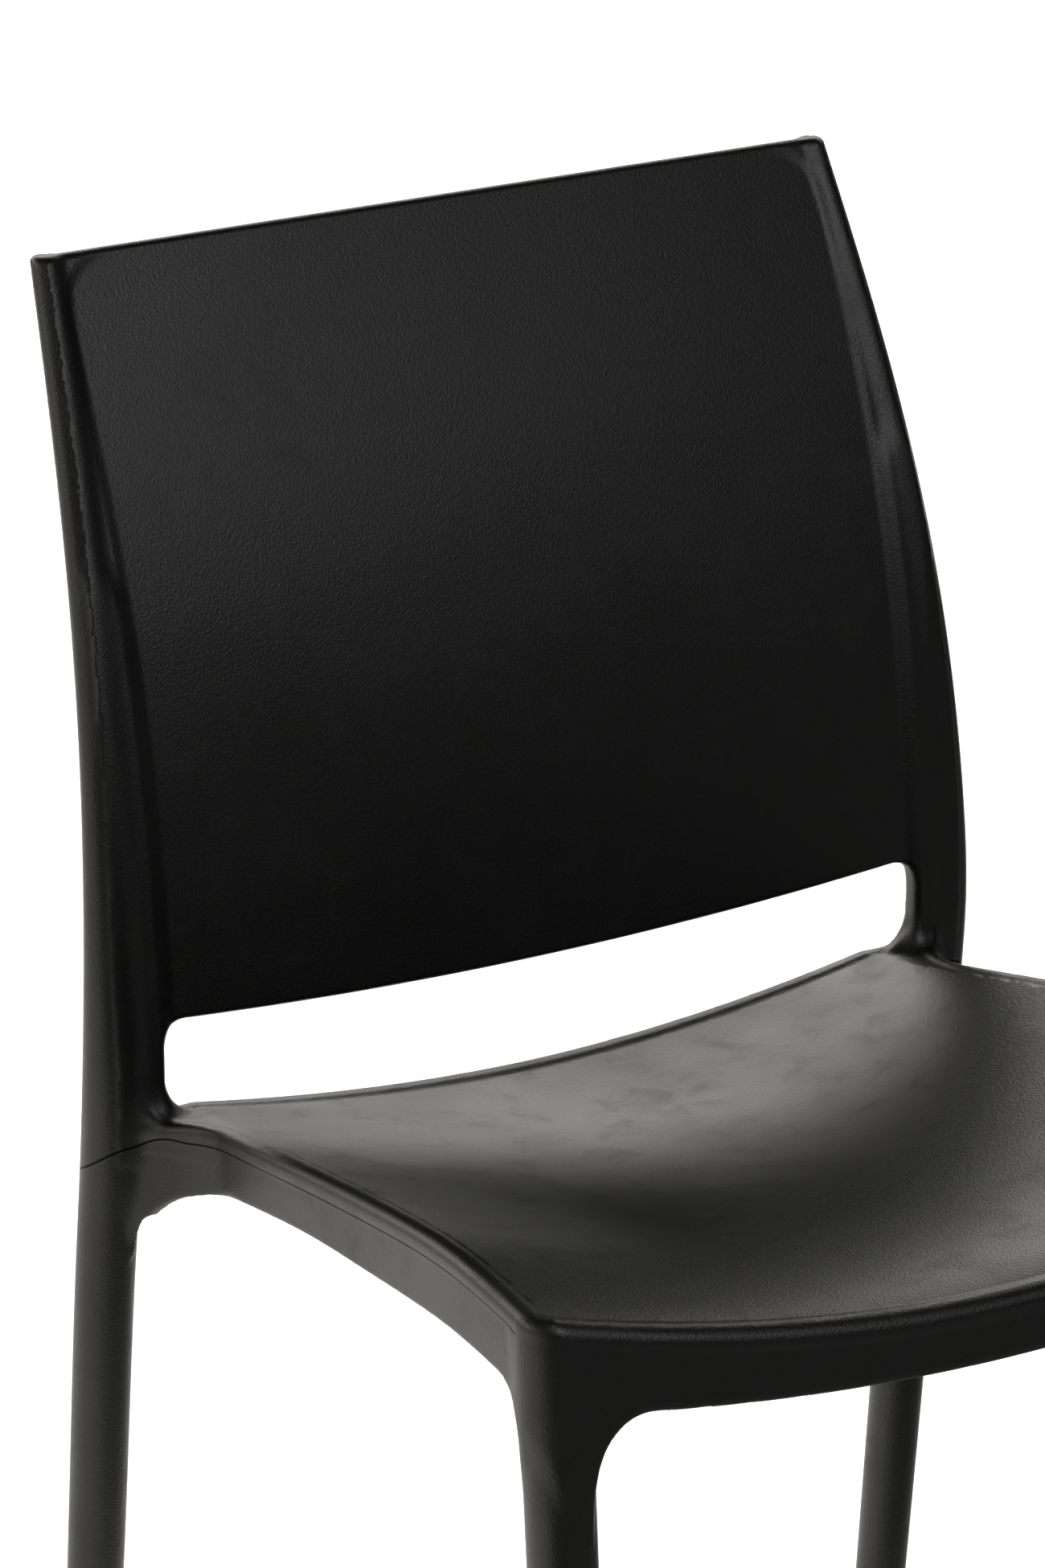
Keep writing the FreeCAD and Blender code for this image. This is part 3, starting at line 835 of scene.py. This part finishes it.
class CHAIR_OT_glides(bpy.types.Operator):
    """Foot glides: one turned disc and plug, placed under each leg by a node tree"""
    bl_idname = "chair.glides"
    bl_label = "Foot glides"

    def execute(self, context):
        plug = turned_plug()
        rubber = finish("glide_rubber", glide_rubber)
        for end, line in (("front", FRONT), ("rear", REAR)):
            for side, sign in SIDES:
                foot = Vector((sign * line[0, 1], line[0, 2], 0.0)) * MM
                name = f"chair_glide_{end}_{side}"
                piece = place_by_nodes(name, plug, foot, rubber)
                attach(piece, ROOT)
                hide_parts(f"foot_glide_{end}_{side}")
        bpy.data.objects.remove(plug)
        return {"FINISHED"}


def turned_plug():
    """The glide's profile turned about its axis."""
    bm = bmesh.new()
    ring = [bm.verts.new((r * MM, 0.0, z * MM)) for r, z in glide_profile()]
    edges = [bm.edges.new(pair) for pair in zip(ring, ring[1:])]
    bmesh.ops.spin(
        bm, geom=ring + edges, cent=(0, 0, 0), axis=(0, 0, 1), angle=2 * math.pi, steps=48,
        use_duplicate=False)
    bmesh.ops.remove_doubles(bm, verts=bm.verts, dist=1e-6)
    bmesh.ops.recalc_face_normals(bm, faces=bm.faces)
    for face in bm.faces:
        face.smooth = True
    mesh = bpy.data.meshes.new("glide_pattern")
    bm.to_mesh(mesh)
    bm.free()
    mesh.set_sharp_from_angle(angle=math.radians(40))
    pattern = bpy.data.objects.new("glide_pattern", mesh)
    bpy.context.collection.objects.link(pattern)
    return pattern


def place_by_nodes(name, pattern, place, material):
    """A plain mesh of the pattern set on one point by a Geometry Nodes tree."""
    tree = bpy.data.node_groups.new(name + "_nodes", "GeometryNodeTree")
    for title, kind in (("Pattern", "Object"), ("Foot", "Vector"), ("Finish", "Material")):
        tree.interface.new_socket(title, in_out="INPUT", socket_type="NodeSocket" + kind)
    tree.interface.new_socket("Geometry", in_out="OUTPUT", socket_type="NodeSocketGeometry")
    start, end = tree.nodes.new("NodeGroupInput"), tree.nodes.new("NodeGroupOutput")
    point = tree.nodes.new("GeometryNodeMeshLine")
    point.inputs["Count"].default_value = 1
    info = tree.nodes.new("GeometryNodeObjectInfo")
    set_on = tree.nodes.new("GeometryNodeInstanceOnPoints")
    real = tree.nodes.new("GeometryNodeRealizeInstances")
    paint = tree.nodes.new("GeometryNodeSetMaterial")
    links = [
        (start.outputs["Pattern"], info.inputs["Object"]),
        (start.outputs["Foot"], point.inputs["Start Location"]),
        (point.outputs["Mesh"], set_on.inputs["Points"]),
        (info.outputs["Geometry"], set_on.inputs["Instance"]),
        (set_on.outputs["Instances"], real.inputs["Geometry"]),
        (real.outputs["Geometry"], paint.inputs["Geometry"]),
        (start.outputs["Finish"], paint.inputs["Material"]),
        (paint.outputs["Geometry"], end.inputs["Geometry"]),
    ]
    for a, b in links:
        tree.links.new(a, b)
    holder = bpy.data.objects.new(name + "_holder", bpy.data.meshes.new(name + "_holder"))
    bpy.context.collection.objects.link(holder)
    modifier = holder.modifiers.new("Place", "NODES")
    modifier.node_group = tree
    values = {"Pattern": pattern, "Foot": place, "Finish": material}
    for item in tree.interface.items_tree:
        if item.in_out == "INPUT":
            modifier[item.identifier] = values[item.name]
    bpy.context.view_layer.update()
    mesh = bpy.data.meshes.new_from_object(holder.evaluated_get(bpy.context.evaluated_depsgraph_get()))
    mesh.name = name
    bpy.data.objects.remove(holder)
    piece = bpy.data.objects.new(name, mesh)
    bpy.context.collection.objects.link(piece)
    return piece


BOX_PLACE, BOX_AIM, BOX_SIZE, BOX_WATTS = (0.1, -1.7, 1.75), (-0.05, 0.18, 0.75), 1.1, 17.0
# WARM is the colour of the floor's painted glow, and FLOOR_DIM is that glow's strength in front of the chair.
PAPER, WARM, SKY_WARM = (0.3, 0.3, 0.3, 1.0), (1.0, 0.98, 0.955, 1.0), (1.0, 0.975, 0.945, 1.0)
FLOOR_DIM, SKY_DIM = 0.02, 0.03
TOWARDS_GLOW = (-0.35, 0.94, 0.0)
CAMERA_AIM, SENSOR = (0.00034, 0.1505, 0.56199), 36.0


class CHAIR_OT_studio(bpy.types.Operator):
    """Floor with a painted glow, soft light and the camera"""
    bl_idname = "chair.studio"
    bl_label = "Studio"

    def execute(self, context):
        studio = context.scene.chair_studio
        context.scene.view_settings.view_transform = "Standard"
        floor_with_painted_glow(studio.floor_glow)
        sky(studio.glow)
        soft_light("front_box", BOX_PLACE, BOX_AIM, BOX_SIZE, BOX_WATTS)
        camera(studio)
        return {"FINISHED"}


def floor_with_painted_glow(brightness):
    """Wide floor that glows with painted light, brightest behind the chair and dimming towards the front."""
    bm = bmesh.new()
    bmesh.ops.create_grid(bm, x_segments=8, y_segments=8, size=9.0)
    mesh = bpy.data.meshes.new("studio_floor")
    bm.to_mesh(mesh)
    bm.free()
    floor = bpy.data.objects.new("studio_floor", mesh)
    bpy.context.collection.objects.link(floor)
    n = Nodes("floor_paper_painted_glow")
    place = n.add("TexCoord").outputs["Object"]
    split = n.add("SeparateXYZ", {0: place})
    back, left = n.math("MULTIPLY", split.outputs["Y"], 0.85), n.math("MULTIPLY", split.outputs["X"], -0.5)
    n.link(n.ramp(n.noise(place, 60.0, 3.0), 0.55, 0.65), "Roughness")
    n.shader.inputs["Base Color"].default_value = PAPER
    n.shader.inputs["Emission Color"].default_value = WARM
    # Painted light: the floor's emission makes it glow like a lit backdrop, strongest behind the chair and to
    # the left, dim in front.
    n.link(n.ramp(n.math("ADD", back, left), FLOOR_DIM, brightness, -0.08, 0.15), "Emission Strength")
    mesh.materials.append(n.material)


def sky(brightness):
    """Surroundings: bright behind and to the left, dim in front on the right."""
    world = bpy.data.worlds.new("studio_sky")
    bpy.context.scene.world = world
    world.use_nodes = True
    tree = world.node_tree
    back = tree.nodes["Background"]
    back.inputs["Color"].default_value = SKY_WARM
    place = tree.nodes.new("ShaderNodeTexCoord").outputs["Generated"]
    facing = tree.nodes.new("ShaderNodeVectorMath")
    facing.operation = "DOT_PRODUCT"
    facing.inputs[1].default_value = TOWARDS_GLOW
    split = tree.nodes.new("ShaderNodeSeparateXYZ")
    tree.links.new(place, facing.inputs[0])
    tree.links.new(place, split.inputs[0])
    behind_level = soft_step(tree, facing.outputs["Value"], -0.25, 0.6)
    low_level = soft_step(tree, split.outputs["Z"], 0.66, 0.4)
    rise_level = soft_step(tree, split.outputs["Z"], 0.12, 0.32)
    band = tree.nodes.new("ShaderNodeMath")
    glow = tree.nodes.new("ShaderNodeMath")
    band.operation = glow.operation = "MULTIPLY"
    tree.links.new(low_level, band.inputs[0])
    tree.links.new(rise_level, band.inputs[1])
    tree.links.new(behind_level, glow.inputs[0])
    tree.links.new(band.outputs[0], glow.inputs[1])
    level = tree.nodes.new("ShaderNodeMapRange")
    level.inputs["To Min"].default_value, level.inputs["To Max"].default_value = SKY_DIM, brightness
    tree.links.new(glow.outputs[0], level.inputs["Value"])
    tree.links.new(level.outputs["Result"], back.inputs["Strength"])


def soft_step(tree, value, low, high):
    """Zero at low, one at high and smooth between."""
    step = tree.nodes.new("ShaderNodeMapRange")
    step.interpolation_type = "SMOOTHSTEP"
    step.inputs["From Min"].default_value, step.inputs["From Max"].default_value = low, high
    tree.links.new(value, step.inputs["Value"])
    return step.outputs["Result"]


def soft_light(name, place, target, size, power):
    """Square area light, in metres and watts, turned towards a target."""
    data = bpy.data.lights.new(name, "AREA")
    data.shape, data.size, data.energy = "SQUARE", size, power
    light = bpy.data.objects.new(name, data)
    light.location = place
    light.rotation_euler = (Vector(target) - Vector(place)).to_track_quat("-Z", "Y").to_euler()
    bpy.context.collection.objects.link(light)


def camera(studio):
    """Camera on the chair's left front, aimed above the seat."""
    a, e, r = studio.azimuth, studio.elevation, studio.roll
    back = Vector((math.sin(a) * math.cos(e), -math.cos(a) * math.cos(e), math.sin(e)))
    right = Vector((math.cos(a), math.sin(a), 0.0))
    up = back.cross(right)
    across = math.cos(r) * right + math.sin(r) * up
    along = -math.sin(r) * right + math.cos(r) * up
    target = Vector(CAMERA_AIM)
    data = bpy.data.cameras.new("studio_camera")
    data.lens, data.sensor_width, data.clip_end = studio.lens, SENSOR, 50.0
    eye = bpy.data.objects.new("studio_camera", data)
    turn = Matrix((across, along, back)).transposed().to_4x4()
    eye.matrix_world = Matrix.Translation(target + back * studio.distance) @ turn
    bpy.context.collection.objects.link(eye)
    bpy.context.scene.camera = eye


class CHAIR_PT_panel(bpy.types.Panel):
    """Chair builder"""
    bl_label = "Moulded chair"
    bl_idname = "CHAIR_PT_panel"
    bl_space_type = "VIEW_3D"
    bl_region_type = "UI"
    bl_category = "Chair"

    def draw(self, context):
        for group in ("chair_shell", "chair_finish", "chair_studio"):
            settings = getattr(context.scene, group)
            box = self.layout.box()
            for key in settings.bl_rna.properties.keys():
                if key not in ("rna_type", "name"):
                    box.prop(settings, key)
        for operator in OPERATORS:
            self.layout.operator(operator.bl_idname)


OPERATORS = (
    CHAIR_OT_back_panel, CHAIR_OT_uprights, CHAIR_OT_seat, CHAIR_OT_rear_legs, CHAIR_OT_front_legs,
    CHAIR_OT_aprons, CHAIR_OT_glides, CHAIR_OT_studio)
GROUPS = {"chair_shell": ChairShell, "chair_finish": ChairFinish, "chair_studio": ChairStudio}


def register():
    for group in GROUPS.values():
        bpy.utils.register_class(group)
    for name, group in GROUPS.items():
        setattr(bpy.types.Scene, name, bpy.props.PointerProperty(type=group))
    for operator in OPERATORS:
        bpy.utils.register_class(operator)
    bpy.utils.register_class(CHAIR_PT_panel)


def unregister():
    bpy.utils.unregister_class(CHAIR_PT_panel)
    for operator in reversed(OPERATORS):
        bpy.utils.unregister_class(operator)
    for name, group in GROUPS.items():
        delattr(bpy.types.Scene, name)
        bpy.utils.unregister_class(group)


def main():
    register()
    for operator in OPERATORS:
        getattr(bpy.ops.chair, operator.bl_idname.split(".")[1])()


if __name__ == "__main__":
    main()
